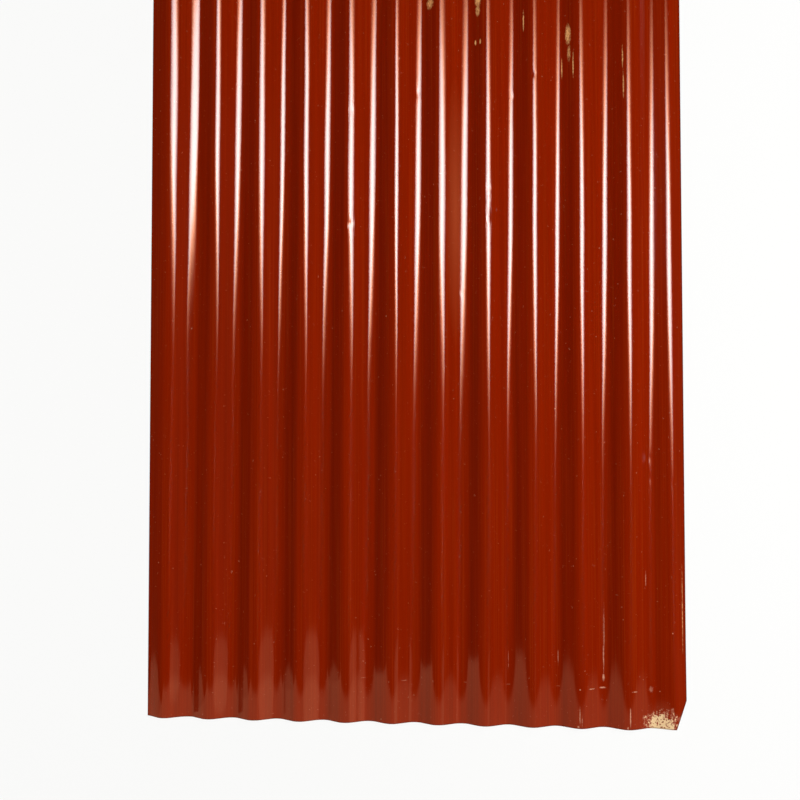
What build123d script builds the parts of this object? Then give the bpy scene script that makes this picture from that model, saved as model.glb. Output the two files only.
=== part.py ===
from build123d import *
import math
import os

# Corrugated roofing sheet, lying flat on its valleys. X runs across the waves, Y along them.
# Millimetres. The origin is on the floor, below the middle of the sheet.

# Rolled wave, measured on the underside of the steel
pitch = 76.2
wave_depth = 17.5
bend_radius = 20.0
full_crests = 11
thickness = 0.5

# Side edges: the left one is cut on the slope just above a valley, the right one is a low, flattened wave
left_edge_slope = 15.0
edge_wave_height = 7.0
edge_wave_run = 30.0
edge_lip = 16.67

# Stock length, and the corner that is knocked off at the right of the near end
length = 2000.0
corner_across = 16.0
corner_along = 46.0


def flank_between_bends(run, height):
    """Length and slope in degrees of the straight flank from a valley up to the next crest."""
    straight = math.sqrt(run**2 + height**2 - 4 * bend_radius * height)
    slope = math.atan2(height - 2 * bend_radius, run) + math.atan2(2 * bend_radius, straight)
    return straight, math.degrees(slope)


def run_past_crest(straight, slope):
    """Distance across the sheet from the middle of a crest to the outer corner of a free flank's end."""
    outer_radius = bend_radius + thickness
    return outer_radius * math.sin(math.radians(slope)) + straight * math.cos(math.radians(slope))


flank, flank_slope = flank_between_bends(pitch / 2, wave_depth)
edge_flank, edge_slope = flank_between_bends(edge_wave_run, edge_wave_height)

left_run = pitch / 2 - (bend_radius - thickness) * math.sin(math.radians(left_edge_slope))
right_run = pitch / 2 + edge_wave_run + run_past_crest(edge_lip, edge_slope)
width = left_run + (full_crests - 1) * pitch + right_run
left_edge = (
    -width / 2 + thickness * math.sin(math.radians(left_edge_slope)),
    bend_radius * (1 - math.cos(math.radians(left_edge_slope))),
)
left_heading = (math.cos(math.radians(left_edge_slope)), math.sin(math.radians(left_edge_slope)))


def bend(before, turn):
    """Arc that carries on from a straight and turns by so many degrees, down where negative."""
    return JernArc(before @ 1, before % 1, bend_radius, turn)


def straight_on(before, distance):
    """Flank that carries on from a bend."""
    return PolarLine(before @ 1, distance, direction=before % 1)


with BuildPart() as corrugated_sheet:
    with BuildSketch(Plane.XZ) as section:
        with BuildLine() as underside:
            left_bend = JernArc(left_edge, left_heading, bend_radius, flank_slope - left_edge_slope)
            rise = straight_on(left_bend, flank)
            for crest_number in range(full_crests - 1):
                crest = bend(rise, -2 * flank_slope)
                fall = straight_on(crest, flank)
                valley = bend(fall, 2 * flank_slope)
                rise = straight_on(valley, flank)
            last_crest = bend(rise, -2 * flank_slope)
            last_fall = straight_on(last_crest, flank)
            last_valley = bend(last_fall, flank_slope + edge_slope)
            edge_rise = straight_on(last_valley, edge_flank)
            edge_crest = bend(edge_rise, -2 * edge_slope)
            straight_on(edge_crest, edge_lip)
            offset(amount=thickness, side=Side.LEFT)
        make_face()
    extrude(amount=length / 2, both=True)

    # The knocked-off corner, cut square through the sheet
    with BuildSketch(Plane.XY) as corner:
        with BuildLine():
            Polyline(
                (width / 2, -length / 2),
                (width / 2, -length / 2 + corner_along),
                (width / 2 - corner_across, -length / 2),
                close=True,
            )
        make_face()
    extrude(amount=wave_depth + thickness, mode=Mode.SUBTRACT)

corrugated_sheet.part.label = "corrugated_sheet"

os.makedirs("parts", exist_ok=True)
export_step(corrugated_sheet.part, "parts/corrugated_sheet.step")
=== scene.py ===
import math
from collections import namedtuple

import bmesh
import bpy
from bpy.props import FloatProperty, FloatVectorProperty, IntProperty, PointerProperty
from bpy.types import Operator, Panel, PropertyGroup
from mathutils import Matrix, Quaternion, Vector, noise


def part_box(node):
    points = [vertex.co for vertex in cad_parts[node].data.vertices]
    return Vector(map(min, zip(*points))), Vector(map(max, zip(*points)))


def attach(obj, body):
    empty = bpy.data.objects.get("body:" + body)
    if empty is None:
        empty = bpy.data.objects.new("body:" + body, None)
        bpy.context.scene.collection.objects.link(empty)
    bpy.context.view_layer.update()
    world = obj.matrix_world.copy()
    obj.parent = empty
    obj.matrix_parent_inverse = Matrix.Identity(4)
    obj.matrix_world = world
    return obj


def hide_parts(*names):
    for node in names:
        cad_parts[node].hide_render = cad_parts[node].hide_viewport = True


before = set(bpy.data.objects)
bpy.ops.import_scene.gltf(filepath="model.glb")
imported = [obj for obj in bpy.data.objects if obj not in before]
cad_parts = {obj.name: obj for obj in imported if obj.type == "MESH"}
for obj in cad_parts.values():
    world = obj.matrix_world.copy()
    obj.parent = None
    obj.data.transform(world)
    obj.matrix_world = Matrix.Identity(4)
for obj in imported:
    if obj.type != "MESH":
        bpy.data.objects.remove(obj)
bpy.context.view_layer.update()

bl_info = {
    "name": "Corrugated Sheet",
    "version": (1, 0, 0),
    "blender": (4, 5, 0),
    "location": "View3D > Sidebar > Sheet",
    "description": "A rolled and painted steel sheet with its wear, on a studio floor",
    "category": "Add Mesh",
}

MM = 0.001
SHEET_LOW, SHEET_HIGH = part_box("corrugated_sheet")

# The mesh stops this far short of the solid's two ends
END_GAP = 0.01 * MM
# The stretch that the camera sees has closer rows than the rest
SEEN_LENGTH = 1.24
SEEN_ROWS = 104
REST_ROWS = 24
# Faces within so many radii of a dent are cut so many times, and past the fade it presses nothing
DENT_REACH = 2.2
DENT_CUTS = 3
DENT_FADE = 12

# Place of the camera and its turn in degrees, which look down on the sheet as the photo does
CAMERA_PLACE = (0.1731, -0.5423, 1.829)
CAMERA_TURN = (2.169, 5.931, -0.029)


def linear(hex_colour):
    """Linear RGBA of an sRGB hex colour."""
    channels = [int(hex_colour[i : i + 2], 16) / 255 for i in (1, 3, 5)]
    return tuple(c / 12.92 if c <= 0.04045 else ((c + 0.055) / 1.055) ** 2.4 for c in channels) + (1.0,)


# A dent is pressed into the top face at a place on the sheet: millimetres across from the middle
# and along from the near end, its depth (proud where negative) and its two radii
Dent = namedtuple("Dent", "across along depth wide long")

DENTS = (
    Dent(-98, 1009, 0.35, 5, 7),
    Dent(-98, 819, 0.5, 5, 6),
    Dent(-116, 815, 0.35, 4, 6),
    Dent(-84, 815, 0.35, 4, 6),
    Dent(12, 1039, 0.4, 4, 7),
    Dent(114, 1119, 0.7, 5, 6),
    Dent(131, 875, 0.35, 4, 5),
    Dent(136, 830, 0.45, 5, 14),
    Dent(128, 824, -0.3, 4, 8),
    Dent(146, 839, 0.7, 3, 6),
    Dent(143, 683, 0.5, 4, 5),
    Dent(146, 656, 0.7, 4, 7),
    Dent(82, 704, 0.5, 4, 6),
    Dent(143, 543, 0.5, 4, 5),
    Dent(147, 1001, 0.6, 4, 5),
    Dent(111, 1031, 0.5, 4, 5),
    Dent(173, 1029, 0.5, 4, 5),
    Dent(203, 1060, 0.6, 4, 5),
    Dent(222, 903, 0.5, 4, 6),
    Dent(220, 532, 0.5, 4, 6),
    Dent(203, 225, 0.4, 4, 6),
    Dent(385, 432, 0.5, 5, 6),
    Dent(389, 400, 0.5, 5, 6),
    Dent(427, 389, 0.4, 5, 8),
    Dent(418, 150, 0.5, 5, 6),
)

# A mark in the paint: its place as for a dent, its two radii and how far the paint is worn, from 0 to 1
Mark = namedtuple("Mark", "across along wide long worn")

# Chalky scratches and scuffs, and a dotted line rubbed across the crests
PALE_MARKS = (
    Mark(313.5, 155, 3.4, 100, 0.44),
    Mark(312.6, 112, 2.2, 56, 0.56),
    Mark(312.4, 79, 3.0, 10, 0.8),
    Mark(273.5, 20, 1.5, 26, 0.7),
    Mark(277, 12, 1.4, 18, 0.55),
    Mark(353, 20, 1.7, 26, 0.8),
    Mark(349, 3, 3.0, 4, 0.7),
    Mark(271, 3, 3.0, 4, 0.66),
    Mark(388, 62, 9, 12, 0.44),
    Mark(420, 30, 7, 12, 0.44),
    Mark(432, 14, 9, 16, 0.46),
    Mark(380, 238, 1.8, 24, 0.56),
    Mark(421.5, 152, 1.6, 2, 0.7),
    Mark(160, 105, 1.5, 40, 0.48),
    Mark(240, 110, 1.6, 26, 0.55),
    Mark(-77, 71, 9, 1.6, 0.46),
    Mark(-9, 69, 12, 1.6, 0.46),
    Mark(90, 67, 10, 1.6, 0.42),
    Mark(160, 65, 10, 1.6, 0.42),
    Mark(240, 64, 10, 1.6, 0.42),
    Mark(274, 62, 2.2, 2, 0.7),
    Mark(293, 62, 9, 2.0, 0.7),
    Mark(311, 63, 9, 2.2, 0.85),
    Mark(360, 60, 8, 2.0, 0.66),
    Mark(401, 59, 2, 2, 0.6),
)
# Painted glints: ochre speckled patches on the flanks that stand for reflections of a warm lamp, and a worn
# strip along the right edge
OCHRE_GLINT_AND_WEAR_MARKS = (
    Mark(34.5, 1188, 11, 18, 0.62),
    Mark(114, 1190, 9, 20, 0.72),
    Mark(114, 1172, 8, 20, 0.56),
    Mark(110, 1119, 2.4, 7, 0.8),
    Mark(118, 1119, 2.4, 7, 0.8),
    Mark(189, 1152, 2.2, 32, 0.66),
    Mark(261.5, 1127, 8, 30, 0.68),
    Mark(263, 1096, 6, 30, 0.5),
    Mark(251.5, 1072, 2.2, 32, 0.6),
    Mark(269.5, 1075, 2.2, 40, 0.62),
    Mark(349, 1085, 2.2, 36, 0.58),
    Mark(350, 1040, 2.2, 46, 0.56),
    Mark(437.3, 190, 1.7, 150, 0.5),
)

# Paint flaked off beside the knocked corner, with what it adds to the grain of the flakes,
# and a flank rubbed dull beside the seventh crest
FLAKED = Mark(403, 7, 34, 26, 0.19)
RUBBED = Mark(76, 840, 16, 230, 0.3)

# How far each bend is flattened (sharpened where negative), from the left: crest, valley, crest and so on
BEND_FLATNESS = (
    0.11, 0.94, -0.22, 0.23, 0.11, -0.22, -0.22, 0.11, 0.11, 0.23, -0.8, 0.23,
    0.23, 0.34, -0.22, -0.22, -0.47, -0.47, -0.47, -0.22, -0.47, 0.11,
)


class SheetShape(PropertyGroup):
    """Sizes of the rolled steel, the same as those of the solid."""

    pitch: FloatProperty(
        name="Pitch",
        description="Crest to crest",
        default=76.2 * MM,
        subtype="DISTANCE",
    )
    wave_depth: FloatProperty(
        name="Wave depth",
        description="Valley to crest, on the underside",
        default=17.5 * MM,
        subtype="DISTANCE",
    )
    bend_radius: FloatProperty(
        name="Bend radius",
        description="Radius of each bend on the underside",
        default=20 * MM,
        subtype="DISTANCE",
    )
    full_crests: IntProperty(
        name="Full crests",
        description="Crests of the full height",
        default=11,
    )
    thickness: FloatProperty(
        name="Thickness",
        description="Of the steel",
        default=0.5 * MM,
        subtype="DISTANCE",
    )
    left_edge_slope: FloatProperty(
        name="Left edge slope",
        description="Slope at the cut left edge",
        default=math.radians(15),
        subtype="ANGLE",
    )
    edge_wave_height: FloatProperty(
        name="Edge wave height",
        description="Of the low right-hand wave",
        default=7 * MM,
        subtype="DISTANCE",
    )
    edge_wave_run: FloatProperty(
        name="Edge wave run",
        description="Valley to crest of the low wave",
        default=30 * MM,
        subtype="DISTANCE",
    )
    edge_lip: FloatProperty(
        name="Edge lip",
        description="Flat beyond the low wave",
        default=16.67 * MM,
        subtype="DISTANCE",
    )
    corner_across: FloatProperty(
        name="Corner across",
        description="Knocked-off corner, across the sheet",
        default=16 * MM,
        subtype="DISTANCE",
    )
    corner_along: FloatProperty(
        name="Corner along",
        description="Knocked-off corner, along the sheet",
        default=46 * MM,
        subtype="DISTANCE",
    )


class SheetRelief(PropertyGroup):
    """How far the used sheet departs from the true rolled one."""

    lean: FloatProperty(
        name="Lean",
        description="Sideways drift of the waves in each metre of length",
        default=9.2 * MM,
        subtype="DISTANCE",
    )
    wander: FloatProperty(
        name="Wander",
        description="Sideways waviness of the rolled bends",
        default=0.6 * MM,
        subtype="DISTANCE",
    )
    corner_lift: FloatProperty(
        name="Corner lift",
        description="How far the knocked corner is bent up",
        default=4 * MM,
        subtype="DISTANCE",
    )


class SheetFinish(PropertyGroup):
    """Colours of the sheet's surfaces."""

    paint: FloatVectorProperty(
        name="Paint",
        description="Oxide red of the top face",
        default=linear("#8A1C00"),
        size=4,
        subtype="COLOR",
    )
    drawn_line: FloatVectorProperty(
        name="Drawn line",
        description="Thin orange lines along the waves",
        default=linear("#A2380C"),
        size=4,
        subtype="COLOR",
    )
    primer: FloatVectorProperty(
        name="Primer",
        description="Where the paint has flaked off",
        default=linear("#F6D5A2"),
        size=4,
        subtype="COLOR",
    )
    scuff: FloatVectorProperty(
        name="Scuff",
        description="Chalky rubbed paint",
        default=linear("#CE8E70"),
        size=4,
        subtype="COLOR",
    )
    # Colour of the painted warm glints on the flanks, and of the worn strip along the right edge
    ochre_glint_and_wear: FloatVectorProperty(
        name="Ochre",
        description="Old stain speckled over the flanks",
        default=linear("#FFC07A"),
        size=4,
        subtype="COLOR",
    )
    dulled: FloatVectorProperty(
        name="Dulled",
        description="Paint rubbed pale along a flank",
        default=linear("#F08A50"),
        size=4,
        subtype="COLOR",
    )
    # Colour of the painted shade of the gap along the cut edges, with some grime
    edge_shade_and_grime: FloatVectorProperty(
        name="Edge dirt",
        description="Grime along the cut edges",
        default=linear("#3A140A"),
        size=4,
        subtype="COLOR",
    )
    backing: FloatVectorProperty(
        name="Backing",
        description="Thin coat of the underside",
        default=linear("#B9B6AE"),
        size=4,
        subtype="COLOR",
    )
    cut_steel: FloatVectorProperty(
        name="Cut edge",
        description="Sheared galvanised steel",
        default=linear("#8C8A88"),
        size=4,
        subtype="COLOR",
    )


class StudioSettings(PropertyGroup):
    """Floor, lamps and camera."""

    floor: FloatVectorProperty(
        name="Floor",
        description="Matt white paper",
        default=linear("#F8F8F7"),
        size=4,
        subtype="COLOR",
    )
    key: FloatProperty(
        name="Key",
        description="Level of the plain light from the right, where 1 shows a colour as it is",
        default=0.65,
    )
    overhead: FloatProperty(
        name="Overhead",
        description="Level of the lamp near the right edge, straight below it",
        default=0.62,
    )
    fill: FloatProperty(
        name="Fill",
        description="Level of the low lamp at the left, on a face turned towards it",
        default=0.125,
    )
    softbox: FloatProperty(
        name="Softbox",
        description="Brightness of the panel that the gloss mirrors",
        default=45.0,
    )
    lens: FloatProperty(
        name="Lens",
        description="Focal length",
        default=50.0,
        subtype="DISTANCE_CAMERA",
    )


def flank_between_bends(run, height, radius):
    """Length and slope of the straight flank from a valley up to the next crest."""
    straight = math.sqrt(run**2 + height**2 - 4 * radius * height)
    slope = math.atan2(height - 2 * radius, run) + math.atan2(2 * radius, straight)
    return straight, slope


class SectionLine:
    """The top face's section, drawn from the left edge by carrying its free end on."""

    BEND_STEPS = 8
    FLANK_STEPS = 2

    def __init__(self, bm, start, heading):
        self.bm = bm
        self.end = bm.verts.new(start)
        self.heading = heading

    def straight(self, distance):
        step = Vector((math.cos(self.heading), 0, math.sin(self.heading))) * distance / self.FLANK_STEPS
        for _ in range(self.FLANK_STEPS):
            self.end = bmesh.ops.extrude_vert_indiv(self.bm, verts=[self.end])["verts"][0]
            bmesh.ops.translate(self.bm, verts=[self.end], vec=step)

    def bend(self, turn, radius):
        towards = math.copysign(radius, turn)
        centre = self.end.co + Vector((-math.sin(self.heading), 0, math.cos(self.heading))) * towards
        made = bmesh.ops.spin(
            self.bm, geom=[self.end], cent=centre, axis=(0, -1, 0), angle=turn, steps=self.BEND_STEPS
        )
        self.end = [part for part in made["geom_last"] if isinstance(part, bmesh.types.BMVert)][0]
        self.heading += turn


def draw_section(bm, shape):
    """Draws the rolled section at the near end, along the top face."""
    flank, slope = flank_between_bends(shape.pitch / 2, shape.wave_depth, shape.bend_radius)
    edge_flank, edge_slope = flank_between_bends(
        shape.edge_wave_run, shape.edge_wave_height, shape.bend_radius
    )
    crest_radius = shape.bend_radius + shape.thickness
    valley_radius = shape.bend_radius - shape.thickness
    start_height = shape.bend_radius - valley_radius * math.cos(shape.left_edge_slope)
    line = SectionLine(bm, (SHEET_LOW.x, SHEET_LOW.y + END_GAP, start_height), shape.left_edge_slope)
    line.bend(slope - shape.left_edge_slope, valley_radius)
    line.straight(flank)
    for _ in range(shape.full_crests - 1):
        line.bend(-2 * slope, crest_radius)
        line.straight(flank)
        line.bend(2 * slope, valley_radius)
        line.straight(flank)
    line.bend(-2 * slope, crest_radius)
    line.straight(flank)
    line.bend(slope + edge_slope, valley_radius)
    line.straight(edge_flank)
    line.bend(-2 * edge_slope, crest_radius)
    line.straight(shape.edge_lip)


def draw_out(bm, section, step, steps):
    """Draws the section out along the sheet in even rows and returns the far row."""
    made = bmesh.ops.spin(
        bm, geom=section, cent=(0, 0, 0), axis=(0, 1, 0), dvec=(0, step, 0), angle=0, steps=steps
    )
    return made["geom_last"]


def knock_corner_off(bm, shape):
    """Cuts the corner at the right of the near end."""
    at_edge = Vector((SHEET_HIGH.x, SHEET_LOW.y + shape.corner_along, 0))
    outwards = Vector((shape.corner_along, -shape.corner_across, 0))
    whole = bm.verts[:] + bm.edges[:] + bm.faces[:]
    bmesh.ops.bisect_plane(bm, geom=whole, dist=1e-6, plane_co=at_edge, plane_no=outwards, clear_outer=True)


def refine_round(bm, dent):
    """Subdivides the faces that a dent reaches."""
    centre = Vector((dent.across, dent.along, 0)) * MM + Vector((0, SHEET_LOW.y, 0))
    reach_x = dent.wide * DENT_REACH * MM
    reach_y = dent.long * DENT_REACH * MM
    edges = set()
    for face in bm.faces:
        middle = face.calc_center_median()
        if abs(middle.x - centre.x) < reach_x and abs(middle.y - centre.y) < reach_y:
            edges.update(face.edges)
    bmesh.ops.subdivide_edges(bm, edges=list(edges), cuts=DENT_CUTS, use_grid_fill=True)


def press_dents(bm):
    """Presses each dent in along the sheet's own normal."""
    bm.normal_update()
    pressed = {}
    for vert in bm.verts:
        across = vert.co.x / MM
        along = (vert.co.y - SHEET_LOW.y) / MM
        depth = 0.0
        for dent in DENTS:
            reach = ((across - dent.across) / dent.wide) ** 2 + ((along - dent.along) / dent.long) ** 2
            if reach < DENT_FADE:
                depth += dent.depth * MM * math.exp(-reach)
        if depth:
            pressed[vert] = vert.co - vert.normal * depth
    for vert, place in pressed.items():
        vert.co = place


def smooth_ramp(value):
    """0 to 1 with flat ends."""
    t = min(max(value, 0.0), 1.0)
    return t * t * (3 - 2 * t)


def flatten_bends(bm, shape):
    """Flattens or sharpens crests and valleys, each in its own measure, as used rollers leave them."""
    first_crest = SHEET_LOW.x + shape.pitch / 2
    first_crest -= (shape.bend_radius - shape.thickness) * math.sin(shape.left_edge_slope)
    reach = 9 * MM
    # The flats lie beside the middle of each bend, most towards the left edge
    beside_at_middle = 1.9
    beside_each_metre = 5.4
    # Each share changes a little along the sheet, in its own stretch of the noise
    change = 0.12
    change_run = 0.3
    noise_step = 7.3
    noise_level = 2.5
    for vert in bm.verts:
        number = round((vert.co.x - first_crest) / (shape.pitch / 2))
        if not 0 <= number < len(BEND_FLATNESS):
            continue
        beside = (beside_at_middle - beside_each_metre * vert.co.x) * MM
        middle = first_crest + number * shape.pitch / 2 + (-beside if number % 2 else beside)
        offset = (vert.co.x - middle) / reach
        share = BEND_FLATNESS[number]
        share += change * noise.noise(Vector((number * noise_step, vert.co.y / change_run, noise_level)))
        # Flattening lowers the middle of a crest, sharpening lowers its shoulders
        hump = math.exp(-(offset**2))
        sunk = share if share > 0 else -share * offset**2
        lower = sunk * hump * reach**2 / (2 * shape.bend_radius)
        vert.co.z += lower if number % 2 else -lower


def drift_waves(bm, relief):
    """Moves the waves sideways: they lean out of square with the edges, and each wanders a little."""
    # The lean is nothing at one place along the sheet and levels off away from it
    straight_at = SHEET_LOW.y + 0.215
    level_after = 1.2
    # Beside the edges it dies out
    left_run = 50 * MM
    right_run = 80 * MM
    wander_across = 60 * MM
    wander_along = 160 * MM
    noise_level = 9.1
    for vert in bm.verts:
        from_left = smooth_ramp((vert.co.x - SHEET_LOW.x) / left_run)
        from_right = smooth_ramp((SHEET_HIGH.x - vert.co.x) / right_run)
        lean = relief.lean * level_after * math.tanh((vert.co.y - straight_at) / level_after)
        wander = relief.wander * noise.noise(
            Vector((vert.co.x / wander_across, vert.co.y / wander_along, noise_level))
        )
        vert.co.x += (lean + wander) * from_left * from_right


def lift_corner(bm, relief):
    """Bends the knocked corner up, most at its tip."""
    side_reach = 45 * MM
    end_reach = 150 * MM
    for vert in bm.verts:
        from_side = (SHEET_HIGH.x - vert.co.x) / side_reach
        from_end = (vert.co.y - SHEET_LOW.y) / end_reach
        if from_side < 1 and from_end < 1:
            vert.co.z += relief.corner_lift * smooth_ramp(1 - from_side) * smooth_ramp(1 - from_end)


def keep_inside(bm, shape):
    """Stops dents and bulges at the solid's own box, the underside just above the floor."""
    lowest = shape.thickness * 1.02
    for vert in bm.verts:
        vert.co.x = min(max(vert.co.x, SHEET_LOW.x), SHEET_HIGH.x)
        vert.co.z = min(max(vert.co.z, lowest), SHEET_HIGH.z)


def mesh_object(name, bm):
    """Makes an object in the scene from a finished bmesh."""
    mesh = bpy.data.meshes.new(name)
    bm.to_mesh(mesh)
    bm.free()
    made = bpy.data.objects.new(name, mesh)
    bpy.context.scene.collection.objects.link(made)
    return made


def add_node(tree, kind, inputs=None, **settings):
    """Adds a node, sets its settings, and sets or links its inputs, given by name or number.

    A map range's numbers are 0 for the value, 1 and 2 for its limits and 3 and 4 for what they become.
    A colour mix's two colours are 6 and 7.
    """
    node = tree.nodes.new(kind)
    for name, value in settings.items():
        setattr(node, name, value)
    for key, value in (inputs or {}).items():
        if isinstance(value, bpy.types.NodeSocket):
            tree.links.new(value, node.inputs[key])
        else:
            node.inputs[key].default_value = value
    return node


def new_material(name):
    """An empty material with its output node."""
    material = bpy.data.materials.new(name)
    material.use_nodes = True
    material.node_tree.nodes.clear()
    return material, material.node_tree, material.node_tree.nodes.new("ShaderNodeOutputMaterial")


def reach_from(tree, place, mark):
    """Distance from a mark's middle, where 1 is its edge."""
    centre = Vector((mark.across, mark.along, 0)) * MM + Vector((0, SHEET_LOW.y, 0))
    spread = (1 / (mark.wide * MM), 1 / (mark.long * MM), 0.0)
    away = add_node(tree, "ShaderNodeVectorMath", {0: place, 1: centre}, operation="SUBTRACT").outputs[0]
    away = add_node(tree, "ShaderNodeVectorMath", {0: away, 1: spread}, operation="MULTIPLY").outputs[0]
    return add_node(tree, "ShaderNodeVectorMath", {0: away}, operation="LENGTH").outputs["Value"]


def drawn_red(tree, place, finish):
    """The red with the lines that the rollers drew along it."""
    # Bands 9 mm wide and 0.8 m long, and strokes 2 mm wide and half a metre long
    band_scale = (1 / (9 * MM), 1 / 0.8, 0.0)
    stroke_scale = (1 / (2 * MM), 1 / 0.5, 0.0)
    drawn = add_node(tree, "ShaderNodeMapping", {"Vector": place, "Scale": band_scale}).outputs[0]
    bands = add_node(
        tree, "ShaderNodeTexNoise", {"Vector": drawn, "Scale": 1.0, "Detail": 2.0}
    ).outputs["Fac"]
    drawn = add_node(tree, "ShaderNodeMapping", {"Vector": place, "Scale": stroke_scale}).outputs[0]
    strokes = add_node(
        tree, "ShaderNodeTexNoise", {"Vector": drawn, "Scale": 1.0, "Detail": 3.0, "Roughness": 0.65}
    ).outputs["Fac"]
    tone = add_node(tree, "ShaderNodeMapRange", {0: bands, 1: 0.3, 2: 0.7, 3: 0.88, 4: 1.08}).outputs[0]
    toned = add_node(
        tree, "ShaderNodeVectorMath", {0: finish.paint[:3], "Scale": tone}, operation="SCALE"
    ).outputs[0]
    stroked = add_node(
        tree, "ShaderNodeMapRange", {0: strokes, 1: 0.5, 2: 0.8, 3: 0.0, 4: 0.5}
    ).outputs[0]
    return add_node(
        tree, "ShaderNodeMix", {"Factor": stroked, 6: toned, 7: finish.drawn_line}, data_type="RGBA"
    ).outputs[2]


def worn_by(tree, place, grain, marks):
    """How far a list of marks wears the paint, broken up by the grain."""
    total = 0.0
    for mark in marks:
        reach = reach_from(tree, place, mark)
        level = add_node(
            tree, "ShaderNodeMapRange", {0: reach, 1: 0.2, 2: 1.0, 3: mark.worn, 4: 0.0}
        ).outputs[0]
        total = add_node(tree, "ShaderNodeMath", {0: total, 1: level}, operation="MAXIMUM").outputs[0]
    broken = add_node(tree, "ShaderNodeMath", {0: total, 1: grain}, operation="MULTIPLY").outputs[0]
    return add_node(
        tree, "ShaderNodeMapRange", {0: broken, 1: 0.16, 2: 0.36, 3: 0.0, 4: 1.0}
    ).outputs[0]


def flaked_corner(tree, place):
    """Where paint beside the knocked corner is chalky and where it is bared, and where chips still hold."""
    # Flakes of 6 mm, and red chips of 3 mm left among them
    flake_grain = add_node(
        tree, "ShaderNodeTexNoise", {"Vector": place, "Scale": 1 / (6 * MM), "Detail": 5.0, "Roughness": 0.75}
    ).outputs["Fac"]
    chip_grain = add_node(
        tree, "ShaderNodeTexNoise", {"Vector": place, "Scale": 1 / (3 * MM), "Detail": 2.0}
    ).outputs["Fac"]
    holding = add_node(
        tree, "ShaderNodeMapRange", {0: chip_grain, 1: 0.37, 2: 0.46, 3: 0.0, 4: 1.0}
    ).outputs[0]
    reach = reach_from(tree, place, FLAKED)
    nearness = add_node(
        tree, "ShaderNodeMapRange", {0: reach, 1: 0.2, 2: 1.15, 3: FLAKED.worn, 4: -0.2}
    ).outputs[0]
    flaking = add_node(tree, "ShaderNodeMath", {0: flake_grain, 1: nearness}, operation="ADD").outputs[0]
    stages = []
    for starts, ends, share in ((0.44, 0.56, 0.75), (0.53, 0.58, 1.0)):
        stage = add_node(
            tree, "ShaderNodeMapRange", {0: flaking, 1: starts, 2: ends, 3: 0.0, 4: share}
        ).outputs[0]
        stages.append(
            add_node(tree, "ShaderNodeMath", {0: stage, 1: holding}, operation="MULTIPLY").outputs[0]
        )
    chalked, bared = stages
    return chalked, bared, holding


def shade_and_grime_along_edges(tree, place, shape):
    """How far painted shade and grime darken the last 2 to 3 mm of paint along the near end, sides and
    knocked corner.
    """
    darkest = 0.75
    knocked = Vector((SHEET_HIGH.x - shape.corner_across, SHEET_LOW.y, 0))
    past_knocked = Vector((shape.corner_along, -shape.corner_across, 0)).normalized()
    shade_and_grime = 0.0
    for on_edge, outwards, wide in (
        (SHEET_LOW, (0, -1, 0), 2.2 * MM),
        (SHEET_LOW, (-1, 0, 0), 2.2 * MM),
        (SHEET_HIGH, (1, 0, 0), 3 * MM),
        (knocked, past_knocked, 3 * MM),
    ):
        away = add_node(tree, "ShaderNodeVectorMath", {0: place, 1: on_edge}, operation="SUBTRACT").outputs[0]
        past = add_node(
            tree, "ShaderNodeVectorMath", {0: away, 1: outwards}, operation="DOT_PRODUCT"
        ).outputs["Value"]
        dark = add_node(
            tree, "ShaderNodeMapRange", {0: past, 1: -wide, 2: 0.0, 3: 0.0, 4: darkest}
        ).outputs[0]
        shade_and_grime = add_node(tree, "ShaderNodeMath", {0: shade_and_grime, 1: dark}, operation="MAXIMUM").outputs[0]
    return shade_and_grime


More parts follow.
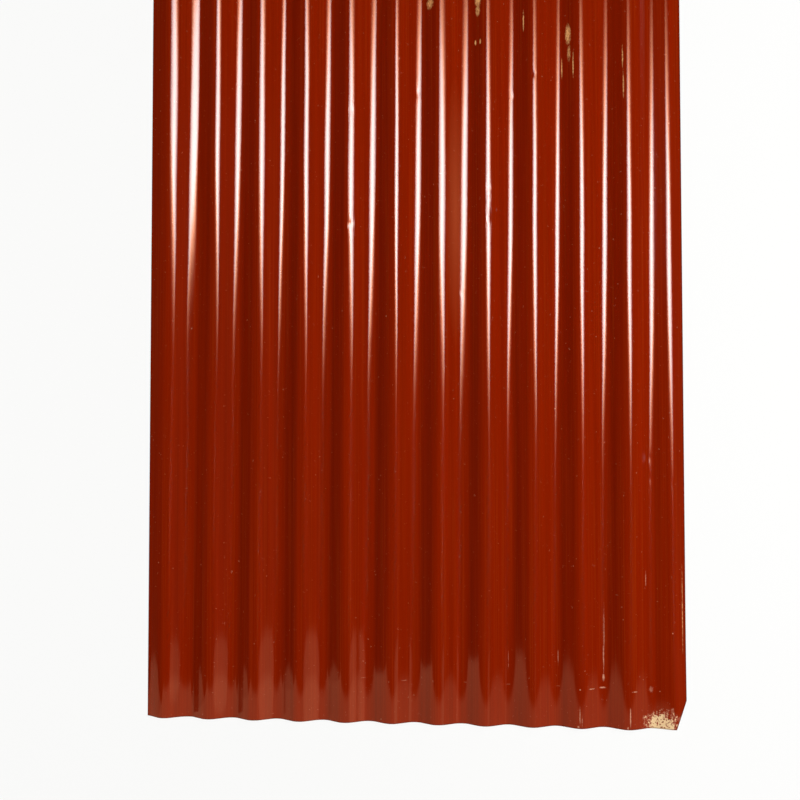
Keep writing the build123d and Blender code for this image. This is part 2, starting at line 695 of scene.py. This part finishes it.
def make_paint(finish, shape):
    """Stoved oxide-red roofing paint on galvanised steel.

    Deep saturated red under a hard gloss that mirrors lamps as crisp white lines, with faint lines
    drawn along the waves, chalky scuffs, and flakes down to the cream primer at the knocked corner.
    """
    material, tree, output = new_material("oxide_red_gloss_paint")
    place = add_node(tree, "ShaderNodeTexCoord").outputs["Object"]

    # Specks of dust and chipped paint, 60 mm apart, drawn 2 mm wide so that they show
    speck = add_node(
        tree, "ShaderNodeTexVoronoi", {"Vector": place, "Scale": 1 / (60 * MM)}
    ).outputs["Distance"]
    specks = add_node(tree, "ShaderNodeMapRange", {0: speck, 1: 0.012, 2: 0.02, 3: 0.4, 4: 0.0}).outputs[0]
    # Grain that breaks up every worn mark, in chips of 2 mm drawn out along the sheet
    stretched = add_node(
        tree, "ShaderNodeMapping", {"Vector": place, "Scale": (1.0, 0.45, 1.0)}
    ).outputs[0]
    grain = add_node(
        tree,
        "ShaderNodeTexNoise",
        {"Vector": stretched, "Scale": 1 / (2 * MM), "Detail": 4.0, "Roughness": 0.75},
    ).outputs["Fac"]
    pale = worn_by(tree, place, grain, PALE_MARKS)
    # Painted glints on the flanks, which stand for warm reflections, and the worn strip along the right edge
    ochre_glint_and_wear = worn_by(tree, place, grain, OCHRE_GLINT_AND_WEAR_MARKS)
    chalky = add_node(tree, "ShaderNodeMath", {0: pale, 1: specks}, operation="MAXIMUM").outputs[0]
    chalked, bared, holding = flaked_corner(tree, place)
    rub_reach = reach_from(tree, place, RUBBED)
    rubbed = add_node(
        tree, "ShaderNodeMapRange", {0: rub_reach, 1: 0.1, 2: 1.0, 3: RUBBED.worn, 4: 0.0}
    ).outputs[0]
    rub_pale = add_node(tree, "ShaderNodeMath", {0: rubbed, 1: 0.5}, operation="MULTIPLY").outputs[0]
    # Painted shade along the cut edges, with some grime
    shade_and_grime = shade_and_grime_along_edges(tree, place, shape)
    shade_and_grime = add_node(tree, "ShaderNodeMath", {0: shade_and_grime, 1: holding}, operation="MULTIPLY").outputs[0]

    # Each kind of wear, the painted glints and the painted edge shade cover those before them
    colour = drawn_red(tree, place, finish)
    for share, worn_to in (
        (chalky, finish.scuff),
        (ochre_glint_and_wear, finish.ochre_glint_and_wear),
        (chalked, finish.scuff),
        (bared, finish.primer),
        (rub_pale, finish.dulled),
        (shade_and_grime, finish.edge_shade_and_grime),
    ):
        colour = add_node(
            tree, "ShaderNodeMix", {"Factor": share, 6: colour, 7: worn_to}, data_type="RGBA"
        ).outputs[2]
    wear = chalky
    for level in (chalked, bared, rubbed):
        wear = add_node(tree, "ShaderNodeMath", {0: wear, 1: level}, operation="MAXIMUM").outputs[0]
    roughness = add_node(
        tree, "ShaderNodeMapRange", {0: wear, 1: 0.0, 2: 1.0, 3: 0.09, 4: 0.5}
    ).outputs[0]

    # Ripple of the sprayed coat, 12 mm across and 30 mm along the sheet, so that lamp lines waver
    ripple_scale = (1 / (12 * MM), 1 / (30 * MM), 1 / (12 * MM))
    rippled = add_node(tree, "ShaderNodeMapping", {"Vector": place, "Scale": ripple_scale}).outputs[0]
    ripple = add_node(
        tree, "ShaderNodeTexNoise", {"Vector": rippled, "Scale": 1.0, "Detail": 2.0}
    ).outputs["Fac"]
    bump = add_node(
        tree, "ShaderNodeBump", {"Height": ripple, "Strength": 1.0, "Distance": 0.08 * MM}
    ).outputs[0]
    shader = add_node(
        tree,
        "ShaderNodeBsdfPrincipled",
        {"Base Color": colour, "Roughness": roughness, "IOR": 1.5, "Normal": bump},
    )
    tree.links.new(shader.outputs[0], output.inputs["Surface"])
    return material


def make_backing(finish):
    """Thin grey backing coat, as such sheet has on its hidden face.

    Pale and nearly matt, with the rollers' faint lines along the waves and a little dust in soft clouds.
    """
    material, tree, output = new_material("grey_backing_coat")
    place = add_node(tree, "ShaderNodeTexCoord").outputs["Object"]
    # Lines 3 mm apart and half a metre long, and clouds of dust 70 mm across
    line_scale = (1 / (3 * MM), 1 / 0.5, 0.0)
    drawn = add_node(tree, "ShaderNodeMapping", {"Vector": place, "Scale": line_scale}).outputs[0]
    lines = add_node(
        tree, "ShaderNodeTexNoise", {"Vector": drawn, "Scale": 1.0, "Detail": 3.0}
    ).outputs["Fac"]
    clouds = add_node(
        tree,
        "ShaderNodeTexNoise",
        {"Vector": place, "Scale": 1 / (70 * MM), "Detail": 5.0, "Roughness": 0.6},
    ).outputs["Fac"]
    both = add_node(tree, "ShaderNodeMath", {0: lines, 1: clouds}, operation="ADD").outputs[0]
    tone = add_node(tree, "ShaderNodeMapRange", {0: both, 1: 0.7, 2: 1.3, 3: 0.8, 4: 1.08}).outputs[0]
    grey = add_node(
        tree, "ShaderNodeVectorMath", {0: finish.backing[:3], "Scale": tone}, operation="SCALE"
    ).outputs[0]
    roughness = add_node(
        tree, "ShaderNodeMapRange", {0: clouds, 1: 0.35, 2: 0.65, 3: 0.36, 4: 0.55}
    ).outputs[0]
    bump = add_node(
        tree, "ShaderNodeBump", {"Height": lines, "Strength": 1.0, "Distance": 0.03 * MM}
    ).outputs[0]
    shader = add_node(
        tree,
        "ShaderNodeBsdfPrincipled",
        {"Base Color": grey, "Roughness": roughness, "IOR": 1.5, "Normal": bump},
    )
    tree.links.new(shader.outputs[0], output.inputs["Surface"])
    return material


def make_cut_edge(finish):
    """Sheared galvanised steel: a thin dull grey line all round the sheet, nicked by the shear."""
    material, tree, output = new_material("sheared_galvanised_edge")
    place = add_node(tree, "ShaderNodeTexCoord").outputs["Object"]
    # Marks of the shear, 1.5 mm apart
    nicks = add_node(
        tree, "ShaderNodeTexNoise", {"Vector": place, "Scale": 1 / (1.5 * MM), "Detail": 3.0}
    ).outputs["Fac"]
    tone = add_node(tree, "ShaderNodeMapRange", {0: nicks, 1: 0.3, 2: 0.7, 3: 0.6, 4: 1.1}).outputs[0]
    grey = add_node(
        tree, "ShaderNodeVectorMath", {0: finish.cut_steel[:3], "Scale": tone}, operation="SCALE"
    ).outputs[0]
    roughness = add_node(
        tree, "ShaderNodeMapRange", {0: nicks, 1: 0.3, 2: 0.7, 3: 0.55, 4: 0.32}
    ).outputs[0]
    shader = add_node(
        tree, "ShaderNodeBsdfPrincipled", {"Base Color": grey, "Metallic": 1.0, "Roughness": roughness}
    )
    tree.links.new(shader.outputs[0], output.inputs["Surface"])
    return material


def roll_steel(shape):
    """Draws the section and then the sheet out of it, with the painted face upwards."""
    bm = bmesh.new()
    draw_section(bm, shape)
    allowed = 0.1 * MM
    if abs(max(vert.co.x for vert in bm.verts) - SHEET_HIGH.x) > allowed:
        raise RuntimeError("the drawn section isn't as wide as the solid")
    rest_length = SHEET_HIGH.y - SHEET_LOW.y - SEEN_LENGTH - 2 * END_GAP
    rows = draw_out(bm, bm.verts[:] + bm.edges[:], SEEN_LENGTH / SEEN_ROWS, SEEN_ROWS)
    draw_out(bm, rows, rest_length / REST_ROWS, REST_ROWS)
    bm.normal_update()
    if sum(face.normal.z for face in bm.faces) < 0:
        bmesh.ops.reverse_faces(bm, faces=bm.faces[:])
    return bm


class SHEET_OT_roll(Operator):
    """Rolls the sheet, wears it and paints it"""

    bl_idname = "sheet.roll"
    bl_label = "Roll the Sheet"

    def execute(self, context):
        shape = context.scene.sheet_shape
        relief = context.scene.sheet_relief
        finish = context.scene.sheet_finish
        bm = roll_steel(shape)
        knock_corner_off(bm, shape)
        flatten_bends(bm, shape)
        drift_waves(bm, relief)
        for dent in DENTS:
            refine_round(bm, dent)
        press_dents(bm)
        lift_corner(bm, relief)
        keep_inside(bm, shape)
        # The cut edges stay crisp when the steel gets its thickness
        for edge in bm.edges:
            edge.smooth = not edge.is_boundary
        for face in bm.faces:
            face.smooth = True
        sheet = mesh_object("painted_sheet", bm)
        for material in (make_paint(finish, shape), make_backing(finish), make_cut_edge(finish)):
            sheet.data.materials.append(material)
        steel = sheet.modifiers.new("steel", "SOLIDIFY")
        steel.thickness = shape.thickness
        steel.offset = -1.0
        steel.use_even_offset = True
        steel.material_offset = 1
        steel.material_offset_rim = 2
        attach(sheet, "root")
        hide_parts("corrugated_sheet")
        return {"FINISHED"}


def add_lamp(name, place, towards, roll=0.0, diffuse=True, glossy=True, kind="AREA", **settings):
    """Adds a lamp that the camera never sees, facing one way and lighting matt or glossy surfaces or both."""
    lamp = bpy.data.lights.new(name, kind)
    for key, value in settings.items():
        setattr(lamp, key, value)
    holder = bpy.data.objects.new(name, lamp)
    holder.location = place
    holder.rotation_mode = "QUATERNION"
    facing = Vector((0, 0, -1)).rotation_difference(Vector(towards))
    holder.rotation_quaternion = facing @ Quaternion((0, 0, 1), roll)
    holder.visible_camera = False
    holder.visible_diffuse = diffuse
    holder.visible_glossy = glossy
    bpy.context.scene.collection.objects.link(holder)
    return lamp


def add_matt_lamp(name, place, towards, size, level, reach):
    """Adds a lamp that the gloss doesn't mirror, which lights a face at its reach to a level."""
    add_lamp(
        name,
        place,
        towards,
        glossy=False,
        energy=level * math.pi**2 * reach**2,
        shape="RECTANGLE",
        size=size[0],
        size_y=size[1],
    )


def add_panel(name, place, towards, size, radiance, spread=math.pi, **settings):
    """Adds a panel that only the gloss sees, with its radiance straight on and a grid for its spread."""
    half = spread / 2
    return add_lamp(
        name,
        place,
        towards,
        diffuse=False,
        energy=radiance * math.pi * size[0] * size[1] * (1 - half / math.tan(half)),
        spread=spread,
        shape="RECTANGLE",
        size=size[0],
        size_y=size[1],
        **settings,
    )


def lamp_face(lamp):
    """Clears a lamp's nodes for a graded face, and returns their tree and the place on the face."""
    lamp.use_nodes = True
    tree = lamp.node_tree
    tree.nodes.clear()
    face = add_node(tree, "ShaderNodeNewGeometry").outputs["Parametric"]
    return tree, add_node(tree, "ShaderNodeSeparateXYZ", {0: face}).outputs


def grade_softbox(lamp):
    """Grades a panel's face from its white middle: fast towards the near end of the sheet, slowly away.

    Its tubes glow warmer where they fade.
    """
    warm = (1.0, 0.48, 0.27, 1.0)
    white = (0.76, 0.66, 0.63, 1.0)
    tree, face = lamp_face(lamp)
    level = 1.0
    for bright_to, fade in ((0.506, -0.09), (0.69, 0.155)):
        past = add_node(
            tree,
            "ShaderNodeMapRange",
            {0: face["Y"], 1: bright_to, 2: bright_to + fade, 3: 0.0, 4: 1.0},
            clamp=False,
        ).outputs[0]
        past = add_node(tree, "ShaderNodeMath", {0: past, 1: 0.0}, operation="MAXIMUM").outputs[0]
        power = add_node(tree, "ShaderNodeMath", {0: past, 1: past}, operation="MULTIPLY").outputs[0]
        fading = add_node(tree, "ShaderNodeMath", {0: math.exp(-1), 1: power}, operation="POWER").outputs[0]
        level = add_node(tree, "ShaderNodeMath", {0: level, 1: fading}, operation="MINIMUM").outputs[0]
    whiter = add_node(tree, "ShaderNodeMapRange", {0: level, 1: 0.5, 2: 1.0, 3: 0.0, 4: 1.0}).outputs[0]
    tint = add_node(tree, "ShaderNodeMix", {"Factor": whiter, 6: warm, 7: white}, data_type="RGBA").outputs[2]
    glow = add_node(tree, "ShaderNodeEmission", {"Color": tint, "Strength": level})
    add_node(tree, "ShaderNodeOutputLight", {"Surface": glow.outputs[0]})


def grade_paper(lamp, tops, soft, glows=(1.0, 1.0)):
    """Grades a card: its soft top edge slopes from one side to the other, and so does its glow."""
    tree, face = lamp_face(lamp)
    top = add_node(
        tree, "ShaderNodeMapRange", {0: face["X"], 1: 0.0, 2: 1.0, 3: tops[0], 4: tops[1]}
    ).outputs[0]
    below = add_node(tree, "ShaderNodeMath", {0: top, 1: face["Y"]}, operation="SUBTRACT").outputs[0]
    level = add_node(
        tree,
        "ShaderNodeMapRange",
        {0: below, 1: -soft, 2: soft, 3: 0.0, 4: 1.0},
        interpolation_type="SMOOTHSTEP",
    ).outputs[0]
    side = add_node(
        tree, "ShaderNodeMapRange", {0: face["X"], 1: 0.0, 2: 1.0, 3: glows[0], 4: glows[1]}
    ).outputs[0]
    level = add_node(tree, "ShaderNodeMath", {0: level, 1: side}, operation="MULTIPLY").outputs[0]
    glow = add_node(tree, "ShaderNodeEmission", {"Strength": level})
    add_node(tree, "ShaderNodeOutputLight", {"Surface": glow.outputs[0]})


def make_paper(studio):
    """Matt white background paper, which the camera and the gloss see nearly shadowless."""
    shadowless = 0.8
    brightness = 1.07
    material, tree, output = new_material("matt_white_paper")
    paper = add_node(
        tree,
        "ShaderNodeBsdfPrincipled",
        {"Base Color": studio.floor, "Roughness": 1.0, "Specular IOR Level": 0.0},
    )
    ray = add_node(tree, "ShaderNodeLightPath").outputs
    seen = ray["Is Camera Ray"]
    for sight in (ray["Is Glossy Ray"], ray["Is Transmission Ray"]):
        seen = add_node(tree, "ShaderNodeMath", {0: seen, 1: sight}, operation="MAXIMUM").outputs[0]
    share = add_node(tree, "ShaderNodeMath", {0: seen, 1: shadowless}, operation="MULTIPLY").outputs[0]
    white = add_node(tree, "ShaderNodeEmission", {"Color": studio.floor, "Strength": brightness})
    mixed = add_node(tree, "ShaderNodeMixShader", {0: share, 1: paper.outputs[0], 2: white.outputs[0]})
    tree.links.new(mixed.outputs[0], output.inputs["Surface"])
    return material


def make_flag():
    """Black studio felt: it swallows light, and the gloss shows it as nothing."""
    material, tree, output = new_material("black_felt")
    felt = add_node(
        tree,
        "ShaderNodeBsdfPrincipled",
        {"Base Color": linear("#0A0A0A"), "Roughness": 1.0, "Specular IOR Level": 0.0},
    )
    tree.links.new(felt.outputs[0], output.inputs["Surface"])
    return material


def lay_floor(studio):
    """Lays a round floor that runs out of sight, just below the sheet."""
    radius = 60.0
    below = 0.3 * MM
    bm = bmesh.new()
    bmesh.ops.create_circle(bm, cap_ends=True, radius=radius, segments=96)
    bmesh.ops.translate(bm, verts=bm.verts[:], vec=(0, 0, -below))
    floor = mesh_object("studio_floor", bm)
    floor.data.materials.append(make_paper(studio))


def hang_flag():
    """Stands a flag on the floor at the left, which only the gloss sees.

    It keeps the pale horizon out of the left-hand flanks.
    """
    height = 0.42
    length = 2.6
    upright = Matrix.Rotation(math.radians(90), 3, "Y")
    bm = bmesh.new()
    bmesh.ops.create_grid(bm, x_segments=1, y_segments=1, size=0.5)
    bmesh.ops.scale(bm, verts=bm.verts[:], vec=(height, length, 1))
    bmesh.ops.rotate(bm, verts=bm.verts[:], cent=(0, 0, 0), matrix=upright)
    bmesh.ops.translate(bm, verts=bm.verts[:], vec=(-1.35, -0.35, height / 2))
    flag = mesh_object("black_flag", bm)
    flag.data.materials.append(make_flag())
    flag.visible_camera = False
    flag.visible_diffuse = False
    flag.visible_shadow = False


def darken_room(scene):
    """Makes the room dark above a pale horizon, which fades out between two heights."""
    pale = 0.85
    dark = 0.004
    fades_from = 0.14
    fades_to = 0.24
    world = bpy.data.worlds.new("dark_room")
    scene.world = world
    world.use_nodes = True
    tree = world.node_tree
    tree.nodes.clear()
    way = add_node(tree, "ShaderNodeTexCoord").outputs["Generated"]
    height = add_node(tree, "ShaderNodeSeparateXYZ", {0: way}).outputs["Z"]
    level = add_node(
        tree, "ShaderNodeMapRange", {0: height, 1: fades_from, 2: fades_to, 3: pale, 4: dark}
    ).outputs[0]
    sky = add_node(tree, "ShaderNodeBackground", {"Color": (1, 1, 1, 1), "Strength": level})
    add_node(tree, "ShaderNodeOutputWorld", {"Surface": sky.outputs[0]})


def hang_lamps(studio):
    """Hangs the lamps that light the paint, and the panels that its gloss mirrors."""
    key_way = Vector((-0.37, 0, -1)).normalized()
    add_lamp(
        "key",
        (2.0, 0, 4.0),
        key_way,
        glossy=False,
        kind="SUN",
        energy=math.pi * studio.key / -key_way.z,
        angle=math.radians(20),
    )
    height = 1.25
    add_matt_lamp("overhead_right", (1.05, -0.35, height), (0, 0, -1), (0.9, 1.8), studio.overhead, height)
    fill_reach = 0.9
    add_matt_lamp("low_fill_left", (-1.2, -0.35, 0.5), (0.9, 0, -0.5), (0.4, 1.8), studio.fill, fill_reach)
    softbox = add_panel(
        "gridded_softbox",
        (-0.06, 0.02, 1.0),
        (-0.09, -0.2, -1),
        (3.0, 1.5),
        studio.softbox,
        spread=math.radians(56),
        roll=math.radians(-27),
    )
    grade_softbox(softbox)

    # Warm papers beyond the near end, whose light washes up the flanks there
    glow = 1.3
    card_glow = 1.25 * glow
    tint = (1.0, 0.43, 0.22)
    near_end = SHEET_LOW.y - 0.02
    paper = add_panel("near_paper", (0.19, near_end, 0.3), (0, 1, 0), (1.42, 0.8), glow, color=tint)
    grade_paper(paper, (0.56, 0.31), 0.07, (1.0, 0.55))
    low_paper = add_panel("low_near_paper", (-0.91, near_end, 0.2), (0, 1, 0), (0.78, 0.4), glow, color=tint)
    grade_paper(low_paper, (-0.06, 0.45), 0.05, (0.45, 0.75))
    card = add_panel(
        "near_card",
        (0.35, SHEET_LOW.y - 0.075, 0.62),
        (-1, 0, 0),
        (0.66, 0.27),
        card_glow,
        spread=math.radians(140),
        color=tint,
    )
    grade_paper(card, (0.32, 0.98), 0.07)


def set_camera(scene, studio):
    """Sets the camera over the sheet."""
    view = bpy.data.cameras.new("view")
    view.lens = studio.lens
    camera = bpy.data.objects.new("view", view)
    camera.location = CAMERA_PLACE
    camera.rotation_mode = "ZXY"
    camera.rotation_euler = [math.radians(turn) for turn in CAMERA_TURN]
    scene.collection.objects.link(camera)
    scene.camera = camera
    scene.view_settings.view_transform = "Standard"


class SHEET_OT_studio(Operator):
    """Lays the floor, hangs the lamps and sets the camera"""

    bl_idname = "sheet.studio"
    bl_label = "Set the Studio"

    def execute(self, context):
        studio = context.scene.sheet_studio
        lay_floor(studio)
        hang_flag()
        darken_room(context.scene)
        hang_lamps(studio)
        set_camera(context.scene, studio)
        return {"FINISHED"}


class SHEET_PT_panel(Panel):
    """The sheet's operators and values"""

    bl_label = "Corrugated Sheet"
    bl_idname = "SHEET_PT_panel"
    bl_space_type = "VIEW_3D"
    bl_region_type = "UI"
    bl_category = "Sheet"

    def draw(self, context):
        self.layout.operator(SHEET_OT_roll.bl_idname)
        self.layout.operator(SHEET_OT_studio.bl_idname)
        for name in PROPERTY_GROUPS:
            group = getattr(context.scene, name)
            box = self.layout.box()
            for value in group.bl_rna.properties:
                if value.identifier not in ("rna_type", "name"):
                    box.prop(group, value.identifier)


PROPERTY_GROUPS = {
    "sheet_shape": SheetShape,
    "sheet_relief": SheetRelief,
    "sheet_finish": SheetFinish,
    "sheet_studio": StudioSettings,
}
CLASSES = (*PROPERTY_GROUPS.values(), SHEET_OT_roll, SHEET_OT_studio, SHEET_PT_panel)


def register():
    for kind in CLASSES:
        bpy.utils.register_class(kind)
    for name, group in PROPERTY_GROUPS.items():
        setattr(bpy.types.Scene, name, PointerProperty(type=group))


def unregister():
    for name in PROPERTY_GROUPS:
        delattr(bpy.types.Scene, name)
    for kind in reversed(CLASSES):
        bpy.utils.unregister_class(kind)


def main():
    register()
    bpy.ops.sheet.roll()
    bpy.ops.sheet.studio()


if __name__ == "__main__":
    main()
